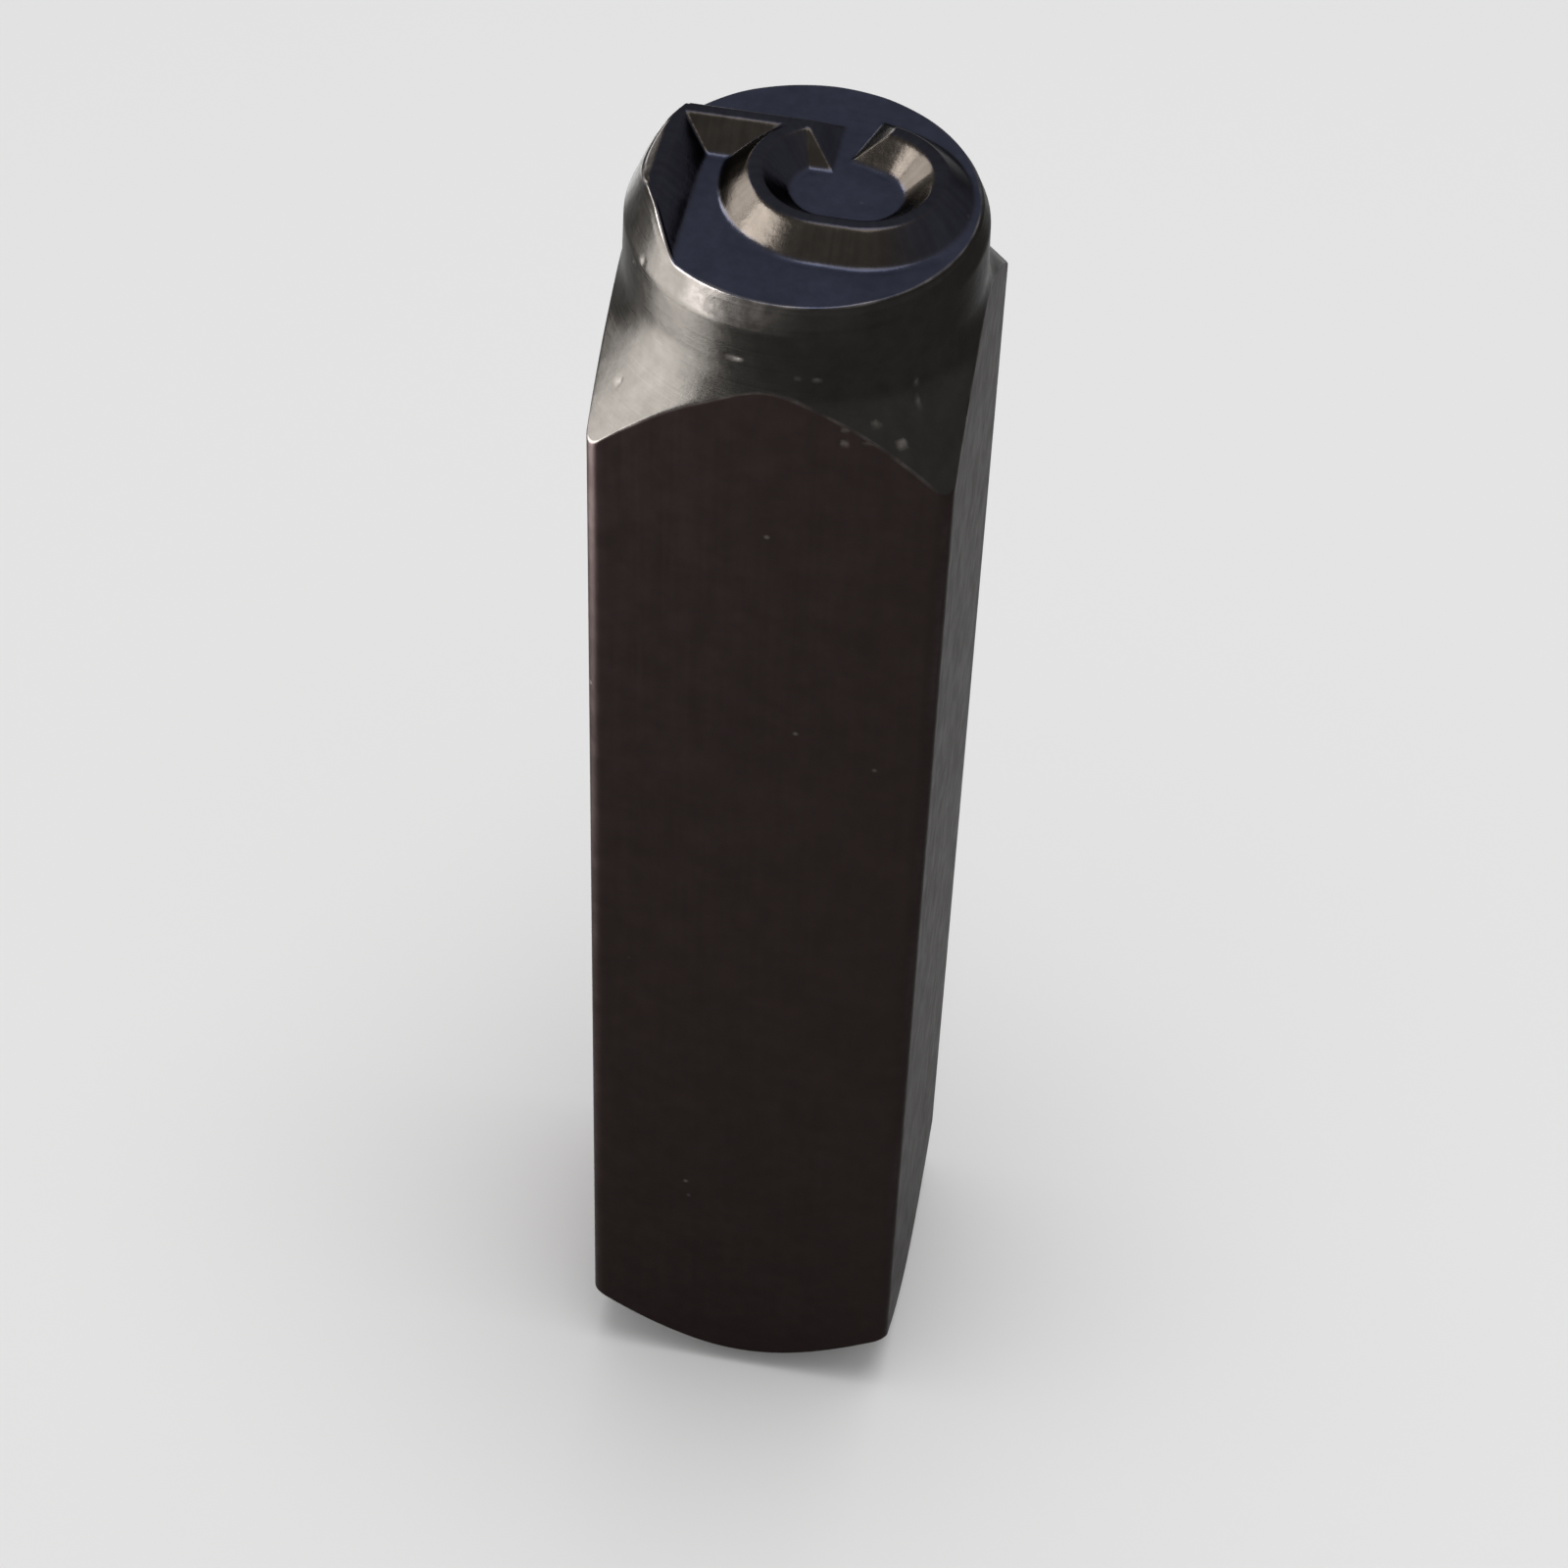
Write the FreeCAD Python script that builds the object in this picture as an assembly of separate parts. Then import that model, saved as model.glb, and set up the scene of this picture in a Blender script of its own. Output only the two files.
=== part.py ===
import FreeCAD, Part
import math
import os

# Steel number punch, in millimetres.
# It is one bar of square tool steel. One end is turned to a round head, and the ground of its face
# is milled away around a raised 5, which is mirrored so that it prints the right way round.
# The punch stands on its struck end: the origin is the middle of that end, and +Z is up to the
# numeral. The four flats face +X, -X, +Y and -Y, and the numeral's top points to -X.

Vector = FreeCAD.Vector
up = Vector(0, 0, 1)

# The square bar
overall_length = 67.0
shank_width = 14.0
shank_corner = 0.6

# The turned head: a bevel round the face, a slightly tapered round, a blend and a cone that runs out
# over the bar's corners
face_diameter = 12.9
rim_bevel = 22.0
head_diameter = 13.65
head_draft = 1.5
cone_angle = 37.0
cone_depth = 4.1
cone_blend = 3.0

# The struck end: a flat round inside a turned bevel
struck_diameter = 11.6
struck_bevel = 45.0

# The numeral's ridge: a narrow crest with sloping flanks
relief = 1.05
crest_width = 0.45
flank_angle = 47.0

# The numeral's strokes, measured along the middle of the crest, as the numeral reads when stamped
character_height = 10.3
character_lift = 0.3
bar_length = 6.95
bowl_radius = 2.85
bowl_straight = 1.2
bowl_shift = -0.25
heel_angle = 150.0
terminal_angle = 198.0

# Allowances for the cutting shapes, which leave no mark on the punch
overrun = 0.5
root = 0.3

face_height = overall_length - relief
face_radius = face_diameter / 2
head_radius = head_diameter / 2
half_width = shank_width / 2
corner_reach = (half_width - shank_corner) * math.sqrt(2) + shank_corner
flank_slope = math.tan(math.radians(flank_angle))


def blend_arc(start, corner, end, radius):
    """Round the corner between two straight lines, and give the arc and its two ends."""
    to_start = (start - corner).normalize()
    to_end = (end - corner).normalize()
    half_angle = to_start.getAngle(to_end) / 2
    setback = radius / math.tan(half_angle)
    first = corner + to_start * setback
    last = corner + to_end * setback
    inward = (to_start + to_end).normalize()
    middle = corner + inward * (radius / math.sin(half_angle) - radius)
    return Part.Arc(first, middle, last).toShape(), first, last


def square_bar():
    """The bar as it comes from the mill, with small round corners."""
    bar = Part.makeBox(shank_width, shank_width, overall_length, Vector(-half_width, -half_width, 0))
    upright = [edge for edge in bar.Edges if abs(edge.tangentAt(edge.FirstParameter).z) > 0.5]
    return bar.makeFillet(shank_corner, upright)


def turned_envelope():
    """What the lathe leaves: the struck end's bevel, the cone, the round head and its rim's bevel."""
    draft = math.tan(math.radians(head_draft))
    cone = math.tan(math.radians(cone_angle))
    bevel = math.tan(math.radians(struck_bevel))
    rim = math.tan(math.radians(rim_bevel))
    struck_radius = struck_diameter / 2
    clear_radius = corner_reach + overrun
    cone_height = face_height - cone_depth
    rim_height = face_height - (head_radius - face_radius) / rim
    neck_height = (half_width - head_radius + cone_height * cone - rim_height * draft) / (cone - draft)
    neck_radius = head_radius + (rim_height - neck_height) * draft

    foot_middle = Vector(0, 0, 0)
    foot_edge = Vector(struck_radius, 0, 0)
    bevel_top = Vector(clear_radius, 0, (clear_radius - struck_radius) / bevel)
    cone_foot = Vector(clear_radius, 0, cone_height - (clear_radius - half_width) / cone)
    neck = Vector(neck_radius, 0, neck_height)
    rim_foot = Vector(head_radius, 0, rim_height)
    head_edge = Vector(face_radius - relief * rim, 0, overall_length)
    head_middle = Vector(0, 0, overall_length)

    blend, blend_foot, blend_top = blend_arc(cone_foot, neck, rim_foot, cone_blend)
    outline = Part.Wire([
        Part.makeLine(foot_middle, foot_edge),
        Part.makeLine(foot_edge, bevel_top),
        Part.makeLine(bevel_top, cone_foot),
        Part.makeLine(cone_foot, blend_foot),
        blend,
        Part.makeLine(blend_top, rim_foot),
        Part.makeLine(rim_foot, head_edge),
        Part.makeLine(head_edge, head_middle),
        Part.makeLine(head_middle, foot_middle),
    ])
    return Part.Face(outline).revolve(Vector(0, 0, 0), up, 360)


def half_ridge(height):
    """Half the ridge's width at a height above the ground of the face."""
    return crest_width / 2 + (relief - height) * flank_slope


# Each stroke is made a little deeper than the ground and a little higher than the crest.
stroke_foot = -root
stroke_top = relief + crest_width / 4 / flank_slope
foot_half = half_ridge(stroke_foot)
top_half = half_ridge(stroke_top)


def straight_stroke(start, heading, length, hip_at_start, hip_at_end):
    """A straight ridge. An end with a hip slopes down like the flanks, and one without is upright."""
    foot_start = -foot_half if hip_at_start else 0
    foot_end = length + (foot_half if hip_at_end else 0)
    top_start = -top_half if hip_at_start else 0
    top_end = length + (top_half if hip_at_end else 0)
    stroke = Part.makeWedge(
        foot_start, stroke_foot, -foot_half, -top_half, top_start,
        foot_end, stroke_top, foot_half, top_half, top_end)
    stroke.rotate(Vector(0, 0, 0), Vector(1, 0, 0), 90)
    stroke.rotate(Vector(0, 0, 0), up, heading)
    stroke.translate(start)
    return stroke


def curved_stroke(centre, from_angle, to_angle):
    """A ridge along an arc of the bowl."""
    section = Part.Face(Part.makePolygon([
        Vector(bowl_radius - foot_half, 0, stroke_foot),
        Vector(bowl_radius + foot_half, 0, stroke_foot),
        Vector(bowl_radius + top_half, 0, stroke_top),
        Vector(bowl_radius - top_half, 0, stroke_top),
        Vector(bowl_radius - foot_half, 0, stroke_foot),
    ]))
    stroke = section.revolve(Vector(0, 0, 0), up, to_angle - from_angle)
    stroke.rotate(Vector(0, 0, 0), up, from_angle)
    stroke.translate(centre)
    return stroke


def on_bowl(centre, angle):
    """The point of the bowl's crest at an angle about one of its centres."""
    turn = math.radians(angle)
    return centre + Vector(math.cos(turn), math.sin(turn), 0) * bowl_radius


def numeral_five():
    """The 5 as it reads when stamped: x to its right, y up, and z = 0 at the ground of the face."""
    bar_line = character_height / 2 + character_lift
    lower_centre = Vector(bowl_shift, character_lift - character_height / 2 + bowl_radius, 0)
    upper_centre = lower_centre + Vector(0, bowl_straight, 0)
    heel = on_bowl(upper_centre, heel_angle)
    shoulder = Vector(heel.x, bar_line, 0)
    terminal = on_bowl(lower_centre, terminal_angle)

    bar = straight_stroke(shoulder, 0, bar_length, True, True)
    stem = straight_stroke(shoulder, -90, shoulder.y - heel.y, True, True)
    upper_bowl = curved_stroke(upper_centre, 0, heel_angle)
    bowl_side = straight_stroke(on_bowl(lower_centre, 0), 90, bowl_straight, False, False)
    lower_bowl = curved_stroke(lower_centre, terminal_angle, 360)
    terminal_end = straight_stroke(terminal, terminal_angle - 90, 0, False, True)
    return bar.fuse([stem, upper_bowl, bowl_side, lower_bowl, terminal_end])


def number_punch():
    """The whole punch, as one solid."""
    blank = square_bar().common(turned_envelope())

    # The punch carries the mirror image of the 5, with its top towards -X.
    numeral = numeral_five().mirror(Vector(0, 0, 0), Vector(1, 0, 0))
    numeral.rotate(Vector(0, 0, 0), up, 90)
    numeral.translate(Vector(0, 0, face_height))

    ground = Part.makeCylinder(corner_reach + overrun, relief + overrun, Vector(0, 0, face_height))
    return blank.cut(ground.cut(numeral)).removeSplitter()


os.makedirs("parts", exist_ok=True)
punch = number_punch()
if len(punch.Solids) != 1 or not punch.isValid():
    raise ValueError("the punch isn't one valid solid")
punch.Solids[0].exportStep("parts/number_punch.step")
print("number_punch volume mm3", round(punch.Volume, 1), "faces", len(punch.Faces))
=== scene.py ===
"""A steel number punch: a square bar with a turned head and a raised, mirrored 5.

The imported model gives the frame. This file makes the punch again with rounded, slightly worn edges,
nicks and a blackened finish, and sets up the studio. Everything is in the model's own frame: the
punch stands on its struck end at the origin, with the numeral up and the front flat towards -Y.
"""

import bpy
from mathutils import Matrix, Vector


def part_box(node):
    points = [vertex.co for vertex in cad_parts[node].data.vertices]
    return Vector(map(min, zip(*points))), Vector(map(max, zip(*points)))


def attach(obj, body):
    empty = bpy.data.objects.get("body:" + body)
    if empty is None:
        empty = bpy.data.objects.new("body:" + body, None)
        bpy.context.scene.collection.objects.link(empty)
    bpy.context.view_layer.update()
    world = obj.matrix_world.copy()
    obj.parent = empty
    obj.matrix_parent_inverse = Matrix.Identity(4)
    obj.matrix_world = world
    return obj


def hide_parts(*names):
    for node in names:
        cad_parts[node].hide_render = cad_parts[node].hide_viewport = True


bl_info = {
    "name": "Steel Number Punch",
    "version": (1, 0, 0),
    "blender": (4, 5, 0),
    "location": "View3D > Sidebar > Punch",
    "description": "Makes a steel number punch with a blackened finish, and its studio",
    "category": "Add Mesh",
}

import math

import bmesh
import bpy
from bpy.props import FloatProperty, FloatVectorProperty, PointerProperty
from bpy.types import Operator, Panel, PropertyGroup
from mathutils import Matrix, Vector, noise

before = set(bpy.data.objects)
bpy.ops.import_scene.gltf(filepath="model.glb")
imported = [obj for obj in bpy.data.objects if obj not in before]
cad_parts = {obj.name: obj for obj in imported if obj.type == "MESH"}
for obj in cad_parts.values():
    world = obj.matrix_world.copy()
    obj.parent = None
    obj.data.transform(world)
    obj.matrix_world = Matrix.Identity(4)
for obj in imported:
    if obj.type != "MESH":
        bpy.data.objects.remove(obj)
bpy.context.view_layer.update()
NODE = "number_punch"
MM = 0.001
NODE_LOW, NODE_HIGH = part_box(NODE)


# Settings

def length(name, description, millimetres):
    """A length that a user can change, given in millimetres."""
    return FloatProperty(
        name=name, description=description, default=millimetres * MM, soft_min=0.0, precision=5,
        subtype="DISTANCE", unit="LENGTH")


def angle(name, description, degrees):
    """An angle that a user can change, given in degrees."""
    return FloatProperty(
        name=name, description=description, default=math.radians(degrees), subtype="ANGLE",
        unit="ROTATION")


def tint(name, description, rgb):
    """A colour that a user can change."""
    return FloatVectorProperty(
        name=name, description=description, default=rgb, subtype="COLOR", size=3, min=0, max=1)


class PunchShape(PropertyGroup):
    """Sizes of the punch."""

    overall_length: length(
        "Overall length", "From the struck end to the crest of the numeral",
        (NODE_HIGH.z - NODE_LOW.z) / MM)
    shank_width: length("Shank width", "Across the flats of the bar", (NODE_HIGH.x - NODE_LOW.x) / MM)
    shank_corner: length("Shank corner", "Radius of the bar's long corners", 0.6)
    face_diameter: length("Face diameter", "Across the ground of the face", 12.9)
    rim_bevel: angle("Rim bevel", "Slope of the bevel round the face against the axis", 22.0)
    head_diameter: length("Head diameter", "Across the round head, below the rim's bevel", 13.65)
    head_draft: angle("Head draft", "Taper of the round head", 1.5)
    cone_angle: angle("Cone angle", "Slope of the cone against the axis", 37.0)
    cone_depth: length("Cone depth", "From the face down to where the cone is as wide as the bar", 4.1)
    cone_blend: length("Cone blend", "Radius between the cone and the round head", 3.0)
    struck_diameter: length("Struck diameter", "Across the flat of the struck end", 11.6)
    relief: length("Relief", "Height of the numeral over the ground of the face", 1.05)
    crest_width: length("Crest width", "Width of the numeral's printing edge", 0.45)
    flank_angle: angle("Flank angle", "Slope of the numeral's flanks against the axis", 47.0)
    character_height: length("Character height", "Height of the 5 between its crest lines", 10.3)
    character_lift: length("Character lift", "How far the 5 is above the middle of the face", 0.3)
    bar_length: length("Bar length", "Length of the 5's top bar", 6.95)
    bowl_radius: length("Bowl radius", "Radius of the 5's bowl", 2.85)
    bowl_straight: length("Bowl straight", "Straight side between the bowl's two arcs", 1.2)
    bowl_shift: length("Bowl shift", "How far the bowl is to the right of the face's middle", -0.25)
    heel_angle: angle("Heel angle", "Where the bowl leaves the stem", 150.0)
    terminal_angle: angle("Terminal angle", "Where the bowl ends", 198.0)
    edge_round: length("Edge round", "Size of the worn round on the sharp edges", 0.11)


class PunchFinish(PropertyGroup):
    """Colours of the blackened steel."""

    # The bar's brown is partly its oxide and partly a painted reflection of red surroundings.
    bar: tint("Bar", "Brown-black oxide on the flats of the bar", (0.0208, 0.0150, 0.0144))
    head: tint("Head", "Black oxide on the turned head and the struck end", (0.0203, 0.0188, 0.0171))
    # The ground's blue is partly its oxide and partly a painted reflection of a blue sky.
    ground: tint("Ground", "Blue-black oxide on the milled ground of the face", (0.0255, 0.0280, 0.0430))
    numeral: tint("Numeral", "Thin warm oxide on the numeral", (0.0230, 0.0197, 0.0168))
    # Painted shade: on the flanks that face right this colour stands in for shade; on the crest it is thicker
    # oxide.
    crest_tone_and_painted_shade: tint("Shaded", "Thicker oxide on the crest and the flanks that face right", (0.016, 0.016, 0.022))
    # The worn colour also makes the painted highlight on the front left of the rim's bevel.
    worn: tint("Worn", "Steel that shows on edges and in nicks", (0.17, 0.155, 0.145))


class PunchStudio(PropertyGroup):
    """The floor, the lamps and the camera."""

    floor: tint("Floor", "Plain pale floor", (0.82, 0.82, 0.82))
    window: FloatProperty(
        name="Window", description="Power of the tall softbox on the left, which shows in the gloss",
        default=0.60, min=0.0, subtype="POWER", unit="POWER")
    side: FloatProperty(
        name="Side", description="Power of the small dim softbox behind it, which shows in the gloss",
        default=0.046, min=0.0, subtype="POWER", unit="POWER")
    wing: FloatProperty(
        name="Wing", description="Power of the softbox between these two, which shows in the gloss",
        default=0.115, min=0.0, subtype="POWER", unit="POWER")
    overhead: FloatProperty(
        name="Overhead", description="Power of the broad softbox overhead", default=1.0, min=0.0,
        subtype="POWER", unit="POWER")
    sky: FloatProperty(
        name="Sky", description="Strength of the white surroundings as a light", default=0.6,
        min=0.0, subtype="FACTOR")
    lens: FloatProperty(
        name="Lens", description="Focal length of the camera", default=95.0, unit="CAMERA")


# The shape

QUADRANTS = 4
FLAT_COLUMNS = 90       # columns on one quarter's two half flats
CORNER_COLUMNS = 10     # columns round one long corner
ROUND_STEPS = 4         # rows over one worn edge
RIM_STEPS = 12          # steps towards where the bevel cuts the numeral
HALVINGS = 40           # steps of a search by halves
STRUCK, BEVEL, SHANK, SHANK_TOP, TURNED, FACE = 6, 8, 14, 26, 46, 88    # rows between the edges
SHANK_TOP_LENGTH = 3.6 * MM     # the top of the bar, which has closer rows for its nicks
PAST_ARC = 0.1 * MM     # from where the cone meets a flat to the point that gives the cone's slope
MERGE = 1e-7            # metres between the grid's first and last columns, which become one
RIM_SOFT = 0.05 * MM    # the round between the head and the rim's bevel
RIDGE_SOFT = 0.12 * MM  # the rounds along the numeral's crest and foot
WAVER, WAVE = 0.003 * MM, 0.3 * MM      # how much the crest's edges waver, and over what length
FAR = 1.0               # metres, further than any stroke


def smooth_min(first, second, reach):
    """The lower of two values, rounded where they cross."""
    near = max(reach - abs(first - second), 0.0) / reach
    return min(first, second) - near * near * reach / 4


def smooth_max(first, second, reach):
    """The higher of two values, rounded where they cross."""
    return -smooth_min(-first, -second, reach)


def bar_reach(shape, turn):
    """How far the bar's outline is from its axis in one direction."""
    wide, narrow = sorted((abs(math.cos(turn)), abs(math.sin(turn))), reverse=True)
    half = shape.shank_width / 2
    inner = half - shape.shank_corner
    if narrow * half / wide <= inner:
        return half / wide
    middle = inner * (wide + narrow)
    return middle + math.sqrt(middle ** 2 - 2 * inner ** 2 + shape.shank_corner ** 2)


def column_turns(shape):
    """The directions of the mesh's columns, close together round the bar's corners."""
    half = shape.shank_width / 2
    low = math.atan2(half - shape.shank_corner, half)
    high = math.pi / 2 - low
    side = FLAT_COLUMNS // 2
    quarter = [low * i / side for i in range(side)]
    quarter += [low + (high - low) * i / CORNER_COLUMNS for i in range(CORNER_COLUMNS)]
    quarter += [high + low * i / side for i in range(side)]
    return [turn + quadrant * math.pi / 2 for quadrant in range(QUADRANTS) for turn in quarter]


class Turning:
    """The outline that the lathe leaves: a cone, a blend, a slightly tapered round and a bevel."""

    def __init__(self, shape):
        self.draft, self.cone = math.tan(shape.head_draft), math.tan(shape.cone_angle)
        self.blend, self.soft = shape.cone_blend, RIM_SOFT
        self.face = shape.overall_length - shape.relief
        self.bevel = math.tan(shape.rim_bevel)
        head, half = shape.head_diameter / 2, shape.shank_width / 2
        self.rim = Vector((head, self.face - (head - shape.face_diameter / 2) / self.bevel))
        cone_height = self.face - shape.cone_depth
        neck = (half - head + cone_height * self.cone - self.rim.y * self.draft) / (
            self.cone - self.draft)
        corner = Vector((head + (self.rim.y - neck) * self.draft, neck))
        down, up = Vector((self.cone, -1)).normalized(), Vector((-self.draft, 1)).normalized()
        half_angle = down.angle(up) / 2
        self.low = corner + down * self.blend / math.tan(half_angle)
        self.high = corner + up * self.blend / math.tan(half_angle)
        self.middle = corner + (down + up).normalized() * self.blend / math.sin(half_angle)

    def reach(self, height):
        """The radius at a height."""
        if height <= self.low.y:
            return self.low.x + (self.low.y - height) * self.cone
        if height >= self.high.y:
            drafted = self.rim.x + (self.rim.y - height) * self.draft
            return smooth_min(drafted, self.rim.x - (height - self.rim.y) * self.bevel, self.soft)
        return self.middle.x - math.sqrt(self.blend ** 2 - (height - self.middle.y) ** 2)

    def height(self, reach):
        """The height at which the radius has come down to a value."""
        low, high = self.low.y - reach / self.cone, self.face
        for _ in range(HALVINGS):
            middle = (low + high) / 2
            low, high = (middle, high) if self.reach(middle) > reach else (low, middle)
        return (low + high) / 2


class Numeral:
    """The 5 as a height over the ground of the face."""

    def __init__(self, shape):
        self.relief, self.crest = shape.relief, shape.crest_width / 2
        self.slope = math.tan(shape.flank_angle)
        self.soft = RIDGE_SOFT
        self.radius = shape.bowl_radius
        bottom = shape.character_lift - shape.character_height / 2
        low = Vector((shape.bowl_shift, bottom + self.radius))
        high = low + Vector((0, shape.bowl_straight))
        heel = high + self.spoke(shape.heel_angle)
        bar_line = shape.character_height / 2 + shape.character_lift
        shoulder = Vector((heel.x, bar_line))
        self.straights = (
            (shoulder, 0.0, shape.bar_length, True, True),
            (shoulder, -math.pi / 2, bar_line - heel.y, True, True),
            (low + self.spoke(0), math.pi / 2, shape.bowl_straight, False, False),
            (low + self.spoke(shape.terminal_angle), shape.terminal_angle - math.pi / 2, 0.0, False, True))
        self.curves = ((high, 0.0, shape.heel_angle), (low, shape.terminal_angle, 2 * math.pi))

    def spoke(self, turn):
        """From a centre of the bowl to its crest line."""
        return Vector((math.cos(turn), math.sin(turn))) * self.radius

    def from_crest(self, place):
        """How far a point is from the nearest stroke's middle line, and how far along that stroke."""
        best, along = FAR, 0.0
        for start, heading, run, first_hip, last_hip in self.straights:
            ahead = Vector((math.cos(heading), math.sin(heading)))
            offset = place - start
            gone = offset.dot(ahead)
            aside = abs(offset.cross(ahead))
            if (gone < 0 and not first_hip) or (gone > run and not last_hip):
                continue
            away = smooth_max(aside, max(-gone, gone - run), self.soft)
            if away < best:
                best, along = away, gone + heading
        for centre, start, end in self.curves:
            offset = place - centre
            turn = math.atan2(offset.y, offset.x) % (2 * math.pi)
            if start <= turn <= end:
                away = abs(offset.length - self.radius)
                if away < best:
                    best, along = away, turn * self.radius
        return best, along

    def height(self, x, y):
        """The height at a point of the punch's face: the 5 is mirrored, with its top towards -X."""
        away, along = self.from_crest(Vector((-y, -x)))
        away += WAVER * noise.noise(Vector((along / WAVE, 0.0, 0.0)))
        flank = self.relief - (away - self.crest) / self.slope
        return smooth_max(0.0, smooth_min(self.relief, flank, self.soft), self.soft)


# Nicks on the head and on the top of the flats: degrees to the right of the front, height, width and
# tallness in millimetres, and how much steel shows
NICKS = (
    (-12, 63.40, 0.75, 0.34, 0.75), (8, 62.95, 0.34, 0.26, 0.30), (14, 62.88, 0.42, 0.28, 0.32),
    (22, 60.95, 0.32, 0.28, 0.35), (22, 60.28, 0.28, 0.44, 0.45), (28, 60.45, 0.28, 0.24, 0.30),
    (31, 61.05, 0.36, 0.28, 0.35), (37, 60.28, 0.55, 0.28, 0.85), (46, 61.95, 0.30, 0.28, 0.30),
    (45, 61.28, 0.26, 0.44, 0.25), (-52, 65.10, 0.34, 0.30, 0.20), (-58, 64.55, 0.28, 0.36, 0.15),
    (-47, 60.30, 0.32, 0.24, 0.15), (118, 63.60, 0.42, 0.26, 0.40), (163, 62.30, 0.32, 0.30, 0.35),
    (-140, 61.20, 0.44, 0.24, 0.45),
)
NICK_DEPTH = 0.05 * MM
NICK_RAGGED, NICK_GRAIN = 0.5, 1.3      # how uneven a nick's outline is, and how finely
NICK_END = 2            # square of how many half widths a ragged nick can reach


def nicked(turn, reach, height):
    """How deep the nicks are at a point of the side, as a share of their full depth, and how much steel
    shows there."""
    depth, lightened = 0.0, 0.0
    for degrees, middle, width, tallness, shows in NICKS:
        aside = (turn - math.radians(degrees - 90) + math.pi) % (2 * math.pi) - math.pi
        across = aside * reach / (width * MM / 2)
        upward = (height / MM - middle) / (tallness / 2)
        if across ** 2 + upward ** 2 < NICK_END:
            ragged = NICK_RAGGED * noise.noise(
                Vector((across * NICK_GRAIN, upward * NICK_GRAIN, degrees)))
            inside = max(1 - across ** 2 - upward ** 2 + ragged, 0.0)
            depth, lightened = max(depth, min(inside, 1.0)), max(lightened, min(inside, 1.0) * shows)
    return depth, lightened


# The worn part of the rim's bevel, lighter where the lamps' highlight falls, so partly wear and partly a
# painted highlight: degrees to the right of the front, how much steel shows, and over how many degrees
# and what height it fades
RIM_WEAR_HIGHLIGHT_FROM, RIM_WEAR_HIGHLIGHT_TO, RIM_WEAR_HIGHLIGHT = -20, -6, 0.30
RIM_WEAR_HIGHLIGHT_FADE, RIM_WEAR_HIGHLIGHT_DROP = 14, 0.25 * MM


def worn_rim_and_highlight(turning, turn, height):
    """How much steel shows on the bevel round the face, which is worn at the front left; this lightening
    is partly wear and partly a painted highlight.
    """
    degrees = (math.degrees(turn) + 90 + 180) % 360 - 180
    beyond = max(RIM_WEAR_HIGHLIGHT_FROM - degrees, degrees - RIM_WEAR_HIGHLIGHT_TO, 0.0) / RIM_WEAR_HIGHLIGHT_FADE
    below = max(turning.rim.y - height, 0.0) / RIM_WEAR_HIGHLIGHT_DROP
    return RIM_WEAR_HIGHLIGHT * max(1 - beyond, 0.0) * max(1 - below, 0.0)


# The worn rounds: how much their size varies, how finely round the axis and up it, and how much larger
# the struck edge's is
ROUND_UNEVEN, ROUND_TURN_GRAIN, ROUND_HEIGHT_GRAIN, STRUCK_ROUND = 0.5, 4, 0.6, 2


def rounded(before, corner, after, size):
    """Points over a small round in place of a sharp corner."""
    start = corner + (before - corner).normalized() * size
    end = corner + (after - corner).normalized() * size
    steps = [i / ROUND_STEPS for i in range(ROUND_STEPS + 1)]
    return [start * (1 - t) ** 2 + corner * 2 * t * (1 - t) + end * t * t for t in steps]


def between(start, end, count):
    """Points between two others, without them."""
    return [start.lerp(end, (i + 1) / (count + 1)) for i in range(count)]


def outline(shape, turning, numeral, turn):
    """The punch's outline in one direction from its axis, as (reach, height) points: from the middle of
    the struck end, up the side and over the face to its middle."""
    def worn(height):
        place = Vector((
            math.cos(turn) * ROUND_TURN_GRAIN, math.sin(turn) * ROUND_TURN_GRAIN,
            height / MM * ROUND_HEIGHT_GRAIN))
        return shape.edge_round * (1 + ROUND_UNEVEN * noise.noise(place))

    bar = bar_reach(shape, turn)
    foot = shape.struck_diameter / 2
    struck_edge, bevel_edge = Vector((foot, 0)), Vector((bar, bar - foot))
    arc_height = turning.height(bar)
    arc = Vector((bar, arc_height))
    past_arc = Vector((turning.reach(arc_height + PAST_ARC), arc_height + PAST_ARC))
    rim = Vector((turning.reach(turning.face), turning.face))
    for _ in range(RIM_STEPS):
        rim.y = turning.face + numeral.height(math.cos(turn) * rim.x, math.sin(turn) * rim.x)
        rim.x = turning.reach(rim.y)

    first = rounded(Vector((0, 0)), struck_edge, bevel_edge, STRUCK_ROUND * worn(0))
    second = rounded(struck_edge, bevel_edge, arc, worn(bevel_edge.y))
    third = rounded(bevel_edge, arc, past_arc, worn(arc_height))
    fourth = rounded(Vector((rim.x, 0)), rim, Vector((0, rim.y)), worn(rim.y))
    points = [Vector((0, 0)), *between(Vector((0, 0)), first[0], STRUCK), *first]
    points += [*between(first[-1], second[0], BEVEL), *second]
    shank_top = third[0] - Vector((0, SHANK_TOP_LENGTH))
    points += [*between(second[-1], shank_top, SHANK), *between(shank_top, third[0], SHANK_TOP), *third]
    low, high = third[-1].y, fourth[0].y
    heights = [low + (high - low) * (i + 1) / (TURNED + 1) for i in range(TURNED)]
    points += [Vector((turning.reach(height), height)) for height in heights]
    start = fourth[-1].x
    points += fourth
    for i in range(FACE + 1):
        reach = start * (1 - (i + 1) / (FACE + 1))
        points.append(Vector(
            (reach, turning.face + numeral.height(math.cos(turn) * reach, math.sin(turn) * reach))))
    return points


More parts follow.
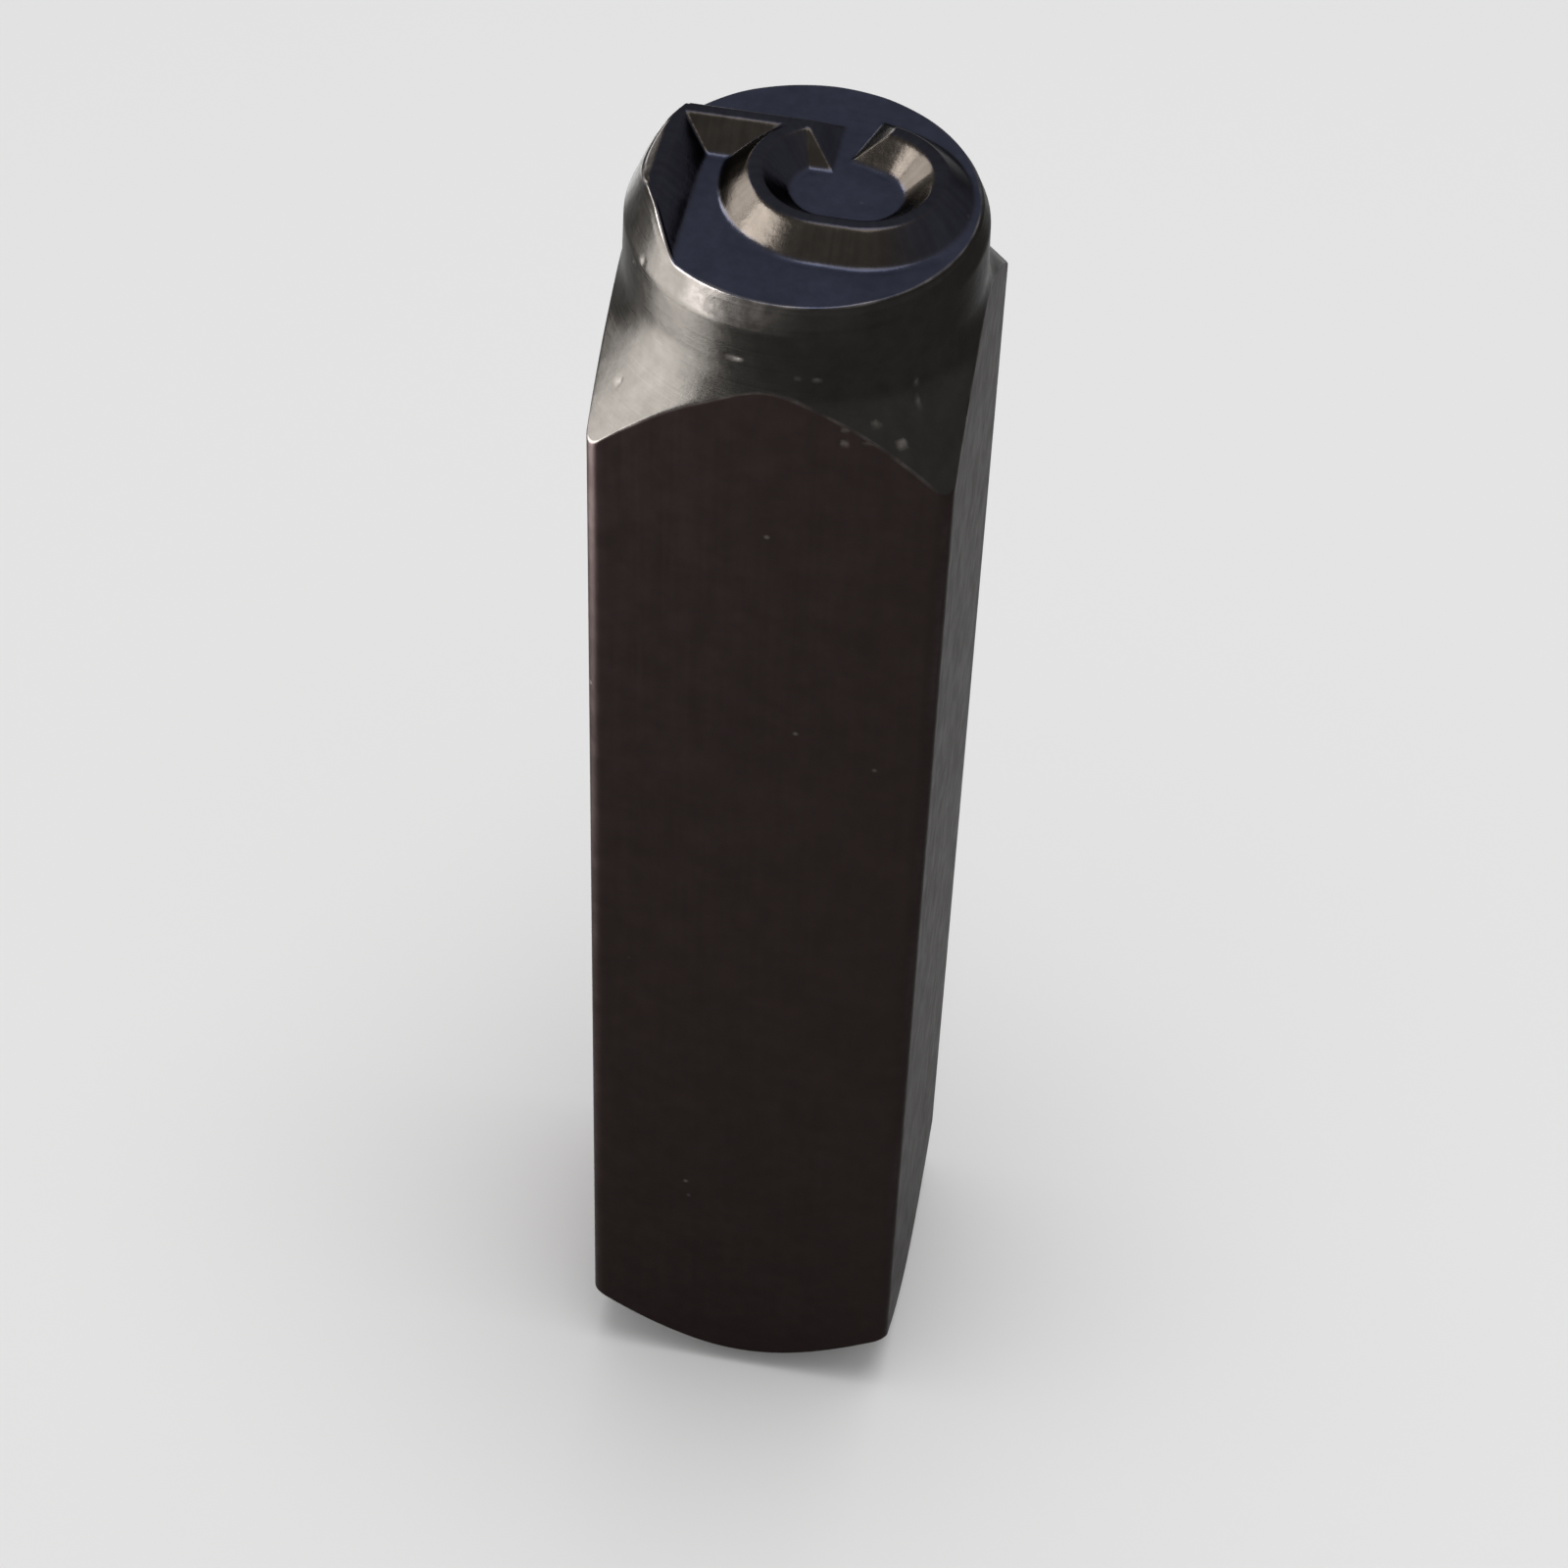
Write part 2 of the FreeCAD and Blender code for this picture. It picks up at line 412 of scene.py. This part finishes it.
# The first rows of the four worn rounds, from the struck end up, and the number of all rows
EDGE_ROWS = []
row = 0
for count in (STRUCK, BEVEL, SHANK + SHANK_TOP, TURNED):
    row += count + 1
    EDGE_ROWS.append(row)
    row += ROUND_STEPS
ROWS = row + FACE + 1


def grid_place(vert, columns):
    """A vertex's column and row in the grid that the punch is rolled from."""
    return round((vert.co.x + 1) / 2 * columns), round((vert.co.y + 1) / 2 * ROWS)


FINISHES = ("head", "bar", "face")


def finish_of(face, rows):
    """Which of the finishes a face has."""
    first = min(vert[rows] for vert in face.verts)
    bevel_edge, arc, rim = (EDGE_ROWS[i] + ROUND_STEPS // 2 for i in (1, 2, 3))
    if bevel_edge <= first < arc:
        return FINISHES.index("bar")
    return FINISHES.index("head" if first < rim else "face")


# How much steel shows on the four worn rounds and on the bar's long corners, how far from a corner's
# middle it fades out, and the size and contrast of its patches
EDGE_WEAR = (0.6, 0.4, 0.35, 0.6)
CORNER_WEAR, CORNER_WEAR_REACH = 0.09, 0.35 * MM
PATCH, PATCH_CONTRAST = 0.9 * MM, 0.9
RAISED = 0.12 * MM      # height over the ground at which the numeral's own oxide is full


def edge_wear(row, turn, reach, height):
    """How much steel shows at a point of the mesh, from 0 to 1."""
    place = Vector((math.cos(turn) * reach, math.sin(turn) * reach, height)) / PATCH
    patch = min(max(0.5 + PATCH_CONTRAST * noise.noise(place), 0.0), 1.0)
    share = 0.0
    for edge, most in zip(EDGE_ROWS, EDGE_WEAR):
        if edge <= row <= edge + ROUND_STEPS:
            share = most * math.sin(math.pi * (row - edge) / ROUND_STEPS)
    if EDGE_ROWS[1] < row <= EDGE_ROWS[2]:
        aside = abs(turn % (math.pi / 2) - math.pi / 4) * reach
        share = max(share, CORNER_WEAR * max(1 - aside / CORNER_WEAR_REACH, 0.0))
    return share * patch


def punch_mesh(shape):
    """The punch: a grid that is rolled round the axis and drawn onto the outlines."""
    turning, numeral = Turning(shape), Numeral(shape)
    turns = column_turns(shape)
    outlines = [outline(shape, turning, numeral, turn) for turn in turns]
    bm = bmesh.new()
    bmesh.ops.create_grid(bm, x_segments=len(turns), y_segments=ROWS, size=1)
    wear_and_rim_highlight, raised, stroke = (bm.verts.layers.float.new(name) for name in ("wear_and_rim_highlight", "raised", "stroke"))
    rows = bm.verts.layers.int.new("row")
    for vert in bm.verts:
        column, row = grid_place(vert, len(turns))
        turn = turns[column % len(turns)]
        reach, height = outlines[column % len(turns)][row]
        depth, lightened = nicked(turn, reach, height) if row < EDGE_ROWS[3] else (0.0, 0.0)
        # The rim's lighter front left is partly wear and partly a painted highlight.
        lightened = max(lightened, worn_rim_and_highlight(turning, turn, height)) if row <= EDGE_ROWS[3] + ROUND_STEPS else 0.0
        vert[wear_and_rim_highlight] = max(edge_wear(row, turn, reach, height), lightened)
        reach -= depth * NICK_DEPTH
        vert.co = (math.cos(turn) * reach, math.sin(turn) * reach, height)
        vert[rows] = row
        if row >= EDGE_ROWS[3]:
            vert[raised] = min(max((height - turning.face) / RAISED, 0.0), 1.0)
            vert[stroke] = numeral.from_crest(Vector((-vert.co.y, -vert.co.x)))[1]
    for face in bm.faces:
        face.smooth = True
        face.material_index = finish_of(face, rows)
    bmesh.ops.remove_doubles(bm, verts=bm.verts, dist=MERGE)
    bmesh.ops.recalc_face_normals(bm, faces=bm.faces)
    return bm


# The finish

# Scales of the patterns, per metre, and how far they are stretched or turned
TURNED_SCALE, TURNED_LEAN = 9000.0, -0.7
DRAWN_SCALE, DRAWN_STRETCH = 5200.0, 0.03
MILLED_SCALE, MILLED_STRETCH, MILLED_TURN = 4200.0, 0.04, 0.5
STREAK_SCALE = 3600.0
SPECK_SCALE, SPECK_SIZE, SPECK_WEAR, SPECK_SHARE = 310.0, 0.05, 0.3, 0.5
BROAD_SCALE, SMUDGE_SCALE, MOTTLE_SCALE, GRAIN_SCALE, PATCHY_SCALE = 380.0, 900.0, 1500.0, 1700.0, 2600.0

STREAK = 0.07           # how much the streaks on the numeral's flanks lighten and darken them
RAISED_LINES = 0.25     # how much of the streaks shows as lines
SMOOTHER, ROUGHER = 0.03, 0.04          # what smudges take from the roughness and add to it
LINE_ROUGHNESS = 0.12   # what fine lines change in the roughness
WORN_LEAST = 0.45       # share of the wear that is left between its patches
GRAIN_STRENGTH, LINE_STRENGTH = 0.2, 0.3


class Nodes:
    """Adds shader nodes to a material and joins them up."""

    def __init__(self, name):
        self.material = bpy.data.materials.new(name)
        self.material.use_nodes = True
        self.tree = self.material.node_tree
        self.shader = self.tree.nodes["Principled BSDF"]

    def add(self, kind, inputs=None, **settings):
        """Add a node with its settings and inputs."""
        node = self.tree.nodes.new(kind)
        for key, value in settings.items():
            setattr(node, key, value)
        for key, value in (inputs or {}).items():
            self.put(node.inputs[key], value)
        return node

    def put(self, socket, value):
        """Join a node or a socket to an input, or set the input's own value."""
        if isinstance(value, bpy.types.NodeSocket):
            self.tree.links.new(value, socket)
        elif isinstance(value, bpy.types.Node):
            self.tree.links.new(value.outputs[0], socket)
        else:
            socket.default_value = value

    def math(self, operation, *values):
        return self.add("ShaderNodeMath", dict(enumerate(values)), operation=operation)

    def span(self, value, low, high, to_low=0.0, to_high=1.0):
        """A value between low and high, as one between two others."""
        return self.add(
            "ShaderNodeMapRange",
            {"Value": value, "From Min": low, "From Max": high, "To Min": to_low, "To Max": to_high},
            interpolation_type="SMOOTHSTEP")

    def mix(self, factor, first, second):
        node = self.add("ShaderNodeMix", data_type="RGBA")
        self.put(node.inputs["Factor"], factor)
        self.put(node.inputs[6], first)
        self.put(node.inputs[7], second)
        return node.outputs[2]

    def noise(self, vector, scale, detail=3.0, roughness=0.5):
        return self.add(
            "ShaderNodeTexNoise",
            {"Vector": vector, "Scale": scale, "Detail": detail, "Roughness": roughness})

    def line_noise(self, along, scale):
        """Noise that only changes along one length."""
        return self.add(
            "ShaderNodeTexNoise", {"W": along, "Scale": scale, "Detail": 2.0}, noise_dimensions="1D")


def colour(value):
    return (*value, 1.0)


def turned_lines(n, place):
    """Fine lines round the axis, on the head, the cone and the struck end."""
    parts = n.add("ShaderNodeSeparateXYZ", {"Vector": place})
    flat = n.add("ShaderNodeCombineXYZ", {"X": parts.outputs["X"], "Y": parts.outputs["Y"]})
    reach = n.add("ShaderNodeVectorMath", {0: flat}, operation="LENGTH").outputs["Value"]
    along = n.math("MULTIPLY_ADD", reach, TURNED_LEAN, parts.outputs["Z"])
    return n.line_noise(along, TURNED_SCALE)


def drawn_lines(n, place):
    """Fine lines along the bar."""
    longer = n.add("ShaderNodeMapping", {"Vector": place, "Scale": (1.0, 1.0, DRAWN_STRETCH)})
    return n.noise(longer, DRAWN_SCALE, 3.0)


def milled_lines(n, place):
    """Fine lines across the face."""
    longer = n.add(
        "ShaderNodeMapping",
        {"Vector": place, "Rotation": (0, 0, MILLED_TURN), "Scale": (MILLED_STRETCH, 1.0, 1.0)})
    return n.noise(longer, MILLED_SCALE, 2.0)


def specks(n, place):
    """Small bare specks, here and there."""
    cells = n.add("ShaderNodeTexVoronoi", {"Vector": place, "Scale": SPECK_SCALE})
    near = n.span(cells.outputs["Distance"], SPECK_SIZE * 0.2, SPECK_SIZE, SPECK_WEAR, 0.0)
    return n.math("MULTIPLY", near, n.math("GREATER_THAN", cells.outputs["Color"], SPECK_SHARE))


def numeral_oxide_and_shade(n, numeral, crest_tone_and_painted_shade):
    """The numeral's own oxide: streaked down its flanks, thicker on the crest, and with painted shade on
    the flanks that face right."""
    stroke = n.add("ShaderNodeAttribute", attribute_name="stroke").outputs["Fac"]
    across = n.line_noise(stroke, STREAK_SCALE)
    facing = n.add("ShaderNodeSeparateXYZ", {"Vector": n.add("ShaderNodeTexCoord").outputs["Normal"]})
    # Painted shade: flanks facing +X take the darker colour as if in shade; the crest, facing up, takes it as
    # thicker oxide.
    away = n.math(
        "MAXIMUM", n.span(facing.outputs["X"], 0.15, 0.6), n.span(facing.outputs["Z"], 0.82, 0.97))
    streak = n.span(across, 0.25, 0.75, 1 - STREAK, 1 + STREAK)
    streaked = n.add(
        "ShaderNodeVectorMath", {0: n.mix(away, colour(numeral), colour(crest_tone_and_painted_shade)), "Scale": streak},
        operation="SCALE")
    return streaked, across


EDGE_GLOSS = 0.5        # how light the oxide is where it is seen at a low angle


def blackened_steel(
        name, lines, oxide, worn, roughness, cloud, line_depth, grain_depth, raised_oxide_and_shade=None):
    """Steel under black oxide: mottled by the share cloud, finely lined, and worn on edges and nicks, with a
    painted highlight on the rim's front left and painted shade on the numeral's right-facing flanks.
    """
    n = Nodes(name)
    place = n.add("ShaderNodeTexCoord").outputs["Object"]
    fine = lines(n, place)
    shade = tuple(oxide)
    if raised_oxide_and_shade:
        raised = n.add("ShaderNodeAttribute", attribute_name="raised").outputs["Fac"]
        streaked, across = numeral_oxide_and_shade(n, *raised_oxide_and_shade)
        shade = n.mix(raised, colour(oxide), streaked)
        faint = n.math("MULTIPLY", across, RAISED_LINES)
        fine = n.add("ShaderNodeMix", {"Factor": raised, "A": fine, "B": faint})
    broad = n.span(n.noise(place, BROAD_SCALE, 4.0, 0.6), 0.3, 0.7, 1 - cloud, 1 + cloud)
    mottle = n.span(n.noise(place, MOTTLE_SCALE, 5.0, 0.62), 0.3, 0.72, 1 - cloud, 1 + cloud)
    dark = n.add(
        "ShaderNodeVectorMath", {0: shade, "Scale": n.math("MULTIPLY", broad, mottle)}, operation="SCALE")
    wear_and_rim_highlight = n.add("ShaderNodeAttribute", attribute_name="wear_and_rim_highlight").outputs["Fac"]
    patchy = n.span(n.noise(place, PATCHY_SCALE, 4.0), 0.3, 0.7, WORN_LEAST, 1.0)
    lightened = n.math("MAXIMUM", n.math("MULTIPLY", wear_and_rim_highlight, patchy), specks(n, place))
    n.put(n.shader.inputs["Base Color"], n.mix(lightened, dark, colour(worn)))
    smudge = n.span(
        n.noise(place, SMUDGE_SCALE, 4.0, 0.6), 0.3, 0.7, roughness - SMOOTHER, roughness + ROUGHER)
    lines_off_middle = n.math("SUBTRACT", fine, 0.5)
    n.put(
        n.shader.inputs["Roughness"],
        n.math("MULTIPLY_ADD", lines_off_middle, LINE_ROUGHNESS, smudge))
    n.shader.inputs["Metallic"].default_value = 1.0
    n.shader.inputs["Specular Tint"].default_value = colour((EDGE_GLOSS,) * 3)
    grain = n.add(
        "ShaderNodeBump",
        {"Height": n.noise(place, GRAIN_SCALE, 5.0, 0.65), "Strength": GRAIN_STRENGTH,
         "Distance": grain_depth})
    lined = n.add(
        "ShaderNodeBump",
        {"Height": fine, "Strength": LINE_STRENGTH, "Distance": line_depth, "Normal": grain})
    n.put(n.shader.inputs["Normal"], lined)
    return n.material


class PUNCH_OT_body(Operator):
    """Make the punch, with worn edges and a blackened finish"""

    bl_idname = "punch.body"
    bl_label = "Number Punch"
    bl_options = {"REGISTER", "UNDO"}

    def execute(self, context):
        shape, finish = context.scene.punch_shape, context.scene.punch_finish
        bm = punch_mesh(shape)
        mesh = bpy.data.meshes.new("punch")
        bm.to_mesh(mesh)
        bm.free()
        punch = bpy.data.objects.new("punch", mesh)
        context.scene.collection.objects.link(punch)
        mesh.materials.append(blackened_steel(
            "turned_head", turned_lines, finish.head, finish.worn, roughness=0.31, cloud=0.08,
            line_depth=0.003 * MM, grain_depth=0.06 * MM))
        mesh.materials.append(blackened_steel(
            "bar_flats", drawn_lines, finish.bar, finish.worn, roughness=0.40, cloud=0.04,
            line_depth=0.006 * MM, grain_depth=0.03 * MM))
        mesh.materials.append(blackened_steel(
            "milled_face", milled_lines, finish.ground, finish.worn, roughness=0.25, cloud=0.09,
            line_depth=0.003 * MM, grain_depth=0.06 * MM, raised_oxide_and_shade=(finish.numeral, finish.crest_tone_and_painted_shade)))
        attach(punch, "root")
        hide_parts(NODE)
        return {"FINISHED"}


# The studio, in metres

# Softboxes: width and height, place, and the point that they face
WINDOW = (0.056, 0.126), (-0.065, -0.026, 0.0665), (-0.005, -0.005, 0.067)
SIDE = (0.030, 0.058), (-0.047, 0.074, 0.046), (-0.005, -0.005, 0.065)
WING = (0.045, 0.055), (-0.078, 0.028, 0.094), (-0.005, -0.005, 0.065)
OVERHEAD = (0.25, 0.25), (0.03, -0.02, 0.50), (0, 0, 0.03)

FLOOR_HALF_WIDTH, FLOOR_ROUGHNESS = 3.0, 0.9
CAMERA_PLACE, CAMERA_TARGET = (0.01878, -0.11756, 0.16425), (0, 0, 0.0335)
CAMERA_ROLL = 2.35      # degrees
SENSOR_WIDTH = 36.0     # millimetres
CLIP_START = 0.01


def softbox(name, power, size, place, target):
    """A rectangular lamp that faces a point and isn't seen itself."""
    lamp = bpy.data.lights.new(name, "AREA")
    lamp.shape, lamp.energy = "RECTANGLE", power
    lamp.size, lamp.size_y = size
    light = bpy.data.objects.new(name, lamp)
    light.location = place
    light.rotation_euler = (Vector(target) - Vector(place)).to_track_quat("-Z", "Y").to_euler()
    light.visible_camera = False
    bpy.context.scene.collection.objects.link(light)
    return light


class PUNCH_OT_studio(Operator):
    """Make the pale floor, the soft lamps, the white surroundings and the camera"""

    bl_idname = "punch.studio"
    bl_label = "Studio"
    bl_options = {"REGISTER", "UNDO"}

    def execute(self, context):
        scene, studio = context.scene, context.scene.punch_studio

        bm = bmesh.new()
        bmesh.ops.create_grid(bm, x_segments=1, y_segments=1, size=FLOOR_HALF_WIDTH)
        mesh = bpy.data.meshes.new("floor")
        bm.to_mesh(mesh)
        bm.free()
        floor = bpy.data.objects.new("floor", mesh)
        scene.collection.objects.link(floor)
        n = Nodes("pale_floor")
        n.shader.inputs["Base Color"].default_value = colour(studio.floor)
        n.shader.inputs["Roughness"].default_value = FLOOR_ROUGHNESS
        n.shader.inputs["Specular IOR Level"].default_value = 0.0
        mesh.materials.append(n.material)

        window = softbox("window_softbox", studio.window, *WINDOW)
        side = softbox("side_softbox", studio.side, *SIDE)
        wing = softbox("wing_softbox", studio.wing, *WING)
        window.visible_diffuse = wing.visible_diffuse = side.visible_diffuse = False
        softbox("overhead_softbox", studio.overhead, *OVERHEAD)

        world = bpy.data.worlds.new("white_surroundings")
        world.use_nodes = True
        scene.world = world
        nodes, links = world.node_tree.nodes, world.node_tree.links
        path = nodes.new("ShaderNodeLightPath")
        seen = path.outputs["Is Camera Ray"]
        for ray in ("Is Glossy Ray", "Is Transmission Ray"):
            either = nodes.new("ShaderNodeMath")
            either.operation = "MAXIMUM"
            links.new(seen, either.inputs[0])
            links.new(path.outputs[ray], either.inputs[1])
            seen = either.outputs[0]
        level = nodes.new("ShaderNodeMapRange")
        level.inputs["To Min"].default_value = studio.sky
        links.new(seen, level.inputs["Value"])
        links.new(level.outputs[0], nodes["Background"].inputs["Strength"])
        nodes["Background"].inputs["Color"].default_value = (1, 1, 1, 1)

        camera = bpy.data.objects.new("camera", bpy.data.cameras.new("camera"))
        camera.data.sensor_width = SENSOR_WIDTH
        camera.data.lens = studio.lens
        camera.data.clip_start = CLIP_START
        camera.location = CAMERA_PLACE
        aim = (Vector(CAMERA_TARGET) - camera.location).to_track_quat("-Z", "Y").to_matrix()
        camera.rotation_euler = (aim @ Matrix.Rotation(math.radians(CAMERA_ROLL), 3, "Z")).to_euler()
        scene.collection.objects.link(camera)
        scene.camera = camera
        scene.view_settings.view_transform = "Standard"
        return {"FINISHED"}


# The add-on

class PUNCH_PT_sidebar(Panel):
    """Lists the punch and its studio in the sidebar"""

    bl_idname = "PUNCH_PT_sidebar"
    bl_label = "Steel Number Punch"
    bl_space_type = "VIEW_3D"
    bl_region_type = "UI"
    bl_category = "Punch"

    def draw(self, context):
        for group, operator in (
                ("punch_shape", None), ("punch_finish", "punch.body"), ("punch_studio", "punch.studio")):
            box = self.layout.box()
            settings = getattr(context.scene, group)
            for name in settings.__annotations__:
                box.prop(settings, name)
            if operator:
                box.operator(operator)


CLASSES = (PunchShape, PunchFinish, PunchStudio, PUNCH_OT_body, PUNCH_OT_studio, PUNCH_PT_sidebar)


def register():
    for cls in CLASSES:
        bpy.utils.register_class(cls)
    bpy.types.Scene.punch_shape = PointerProperty(type=PunchShape)
    bpy.types.Scene.punch_finish = PointerProperty(type=PunchFinish)
    bpy.types.Scene.punch_studio = PointerProperty(type=PunchStudio)


def unregister():
    del bpy.types.Scene.punch_studio
    del bpy.types.Scene.punch_finish
    del bpy.types.Scene.punch_shape
    for cls in reversed(CLASSES):
        bpy.utils.unregister_class(cls)


def main():
    register()
    bpy.ops.punch.body()
    bpy.ops.punch.studio()


if __name__ == "__main__":
    main()
